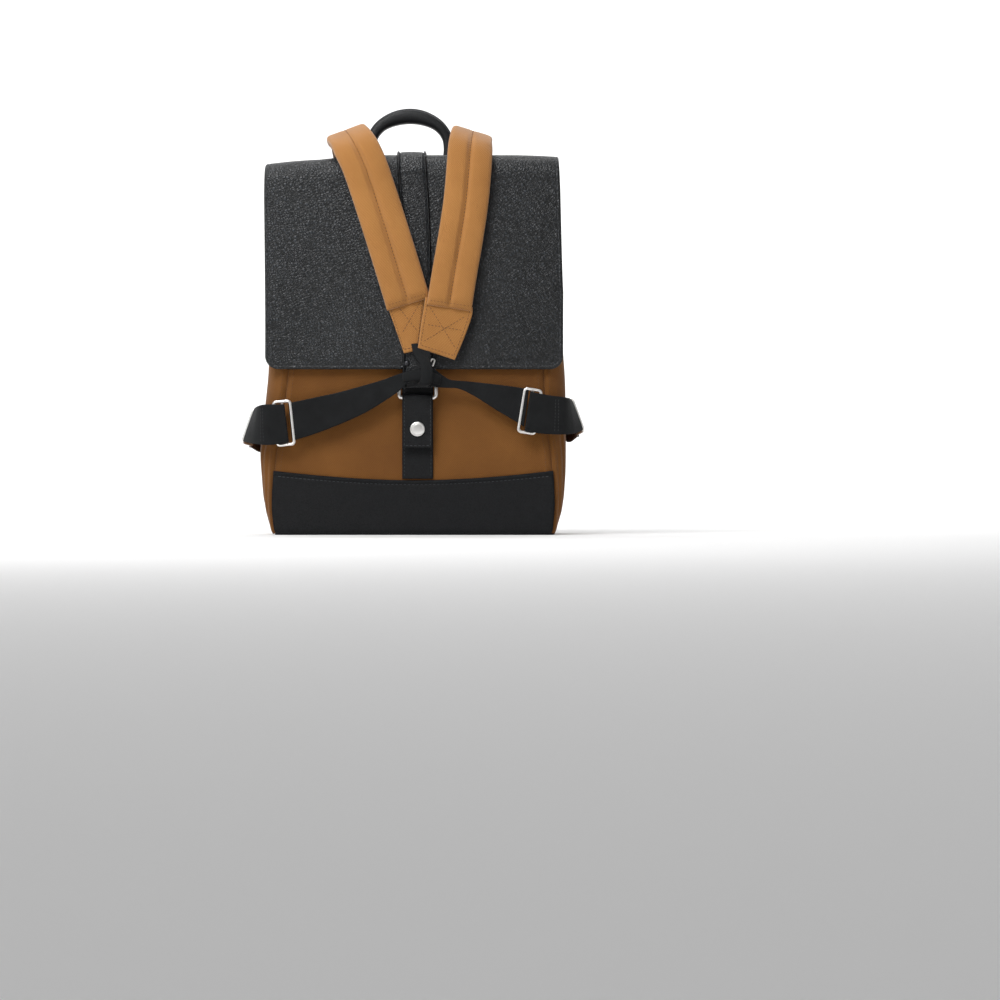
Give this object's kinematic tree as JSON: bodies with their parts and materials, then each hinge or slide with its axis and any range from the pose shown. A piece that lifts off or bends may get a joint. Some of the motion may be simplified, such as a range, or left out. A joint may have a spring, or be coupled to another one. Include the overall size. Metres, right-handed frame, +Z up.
{
  "type": "pannier bag",
  "caption": "Convertible bicycle pannier and backpack with a leather flap, knotted shoulder straps and rack hooks on its back.",
  "frame": {"origin": "middle of the base, on the face that the bag stands on", "axes": "+Z up, -Y out of the front where the flap hangs, +Y towards the rack, +X to the right as seen from the front"},
  "size_m": [0.3576, 0.2134, 0.47],
  "materials": {
    "canvas": "tan twill canvas",
    "strap_canvas": "lighter tan twill over padding",
    "grained_leather": "black pebbled leather",
    "smooth_leather": "black fine-grained leather",
    "brown_leather": "dark brown leather",
    "webbing": "black cotton webbing",
    "nickel": "bright nickel plate",
    "lining_cloth": "dark woven lining",
    "board": "stiff sheet",
    "hook_plastic": "black glass-filled nylon",
    "rail_metal": "black anodised",
    "steel": "plain steel"
  },
  "bodies": {
    "case": {"front_panel": "canvas", "side_panel_left": "canvas", "side_panel_right": "canvas", "back_panel": "canvas", "strap_anchor_left": "strap_canvas", "strap_anchor_right": "strap_canvas", "base_panel": "smooth_leather", "base_cover": "smooth_leather", "closure_strap": "smooth_leather", "handle_tab_left": "smooth_leather", "handle_tab_right": "smooth_leather", "flap_seam_strip": "smooth_leather", "side_tab_left": "brown_leather", "side_tab_right": "brown_leather", "snap_stud": "nickel", "sleeve_divider": "lining_cloth", "mouth_binding": "lining_cloth", "base_board": "board", "back_board": "board", "lower_track": "hook_plastic", "rack_rail": "rail_metal", "rail_screws": "steel", "lower_screw": "steel"},
    "flap": {"flap_panel": "grained_leather", "flap_lining": "lining_cloth", "flap_band": "grained_leather", "clasp_hook": "nickel", "clasp_rivets": "nickel"},
    "harness": {"shoulder_strap_left": "strap_canvas", "shoulder_strap_right": "strap_canvas", "strap_end_left": "strap_canvas", "strap_end_right": "strap_canvas", "strap_knot": "webbing", "webbing_left": "webbing", "webbing_right": "webbing", "side_webbing_left": "webbing", "side_webbing_right": "webbing", "side_ring_left": "nickel", "side_ring_right": "nickel"},
    "ring": {"closure_ring": "nickel"},
    "tab": {"snap_tab": "smooth_leather", "snap_cap": "nickel", "snap_socket": "nickel"},
    "handle": {"handle_grip": "smooth_leather", "handle_core": "steel"},
    "slider_a": {"slider_left": "nickel"},
    "slider_b": {"slider_right": "nickel"},
    "rack_hook_a": {"hook_left": "hook_plastic", "latch_pin_left": "steel"},
    "rack_hook_b": {"hook_right": "hook_plastic", "latch_pin_right": "steel"},
    "rack_latch_a": {"latch_left": "hook_plastic"},
    "rack_latch_b": {"latch_right": "hook_plastic"},
    "strut_hook": {"lower_hook": "hook_plastic"}
  },
  "joints": [
    {"name": "flap_hinge", "type": "hinge", "parent": "case", "child": "flap", "pos_m": [0, 0.052, 0.396], "axis": [-1, 0, 0], "range_deg": [0, 90], "deforming": ["side_tab_left", "side_tab_right", "strap_anchor_left", "strap_anchor_right"]},
    {"name": "harness_lift", "type": "hinge", "parent": "case", "child": "harness", "pos_m": [0, 0.052, 0.396], "axis": [-1, 0, 0], "range_deg": [0, 90]},
    {"name": "ring_drop", "type": "hinge", "parent": "case", "child": "ring", "pos_m": [0, -0.0685, 0.144], "axis": [1, 0, 0], "range_deg": [0, 45]},
    {"name": "snap_tab_lift", "type": "hinge", "parent": "case", "child": "tab", "pos_m": [0, -0.0718, 0.144], "axis": [-1, 0, 0], "range_deg": [0, 90]},
    {"name": "handle_tilt", "type": "hinge", "parent": "case", "child": "handle", "pos_m": [0, 0.073, 0.388], "axis": [-1, 0, 0], "range_deg": [-10, 25], "stiffness_Nm_per_rad": 0.3},
    {"name": "slider_left_slide", "type": "slide", "parent": "harness", "child": "slider_a", "axis": [-0.9744, 0, -0.225], "range_m": [-0.01, 0.01]},
    {"name": "slider_right_slide", "type": "slide", "parent": "harness", "child": "slider_b", "axis": [0.9781, 0, -0.2079], "range_m": [-0.01, 0.01]},
    {"name": "hook_left_slide", "type": "slide", "parent": "case", "child": "rack_hook_a", "axis": [1, 0, 0], "range_m": [-0.015, 0.015]},
    {"name": "hook_right_slide", "type": "slide", "parent": "case", "child": "rack_hook_b", "axis": [1, 0, 0], "range_m": [-0.015, 0.015]},
    {"name": "latch_left_open", "type": "hinge", "parent": "rack_hook_a", "child": "rack_latch_a", "pos_m": [-0.09, 0.1015, 0.303], "axis": [1, 0, 0], "range_deg": [0, 70], "stiffness_Nm_per_rad": 0.1},
    {"name": "latch_right_open", "type": "hinge", "parent": "rack_hook_b", "child": "rack_latch_b", "pos_m": [0.09, 0.1015, 0.303], "axis": [1, 0, 0], "range_deg": [0, 70], "stiffness_Nm_per_rad": 0.1},
    {"name": "strut_hook_turn", "type": "hinge", "parent": "case", "child": "strut_hook", "pos_m": [0, 0.07, 0.1], "axis": [0, 1, 0], "range_deg": [-90, 90]}
  ],
  "couplings": [
    {"joint": "harness_lift", "follows": "flap_hinge", "ratio": 1},
    {"joint": "ring_drop", "follows": "flap_hinge", "ratio": 0.5}
  ]
}
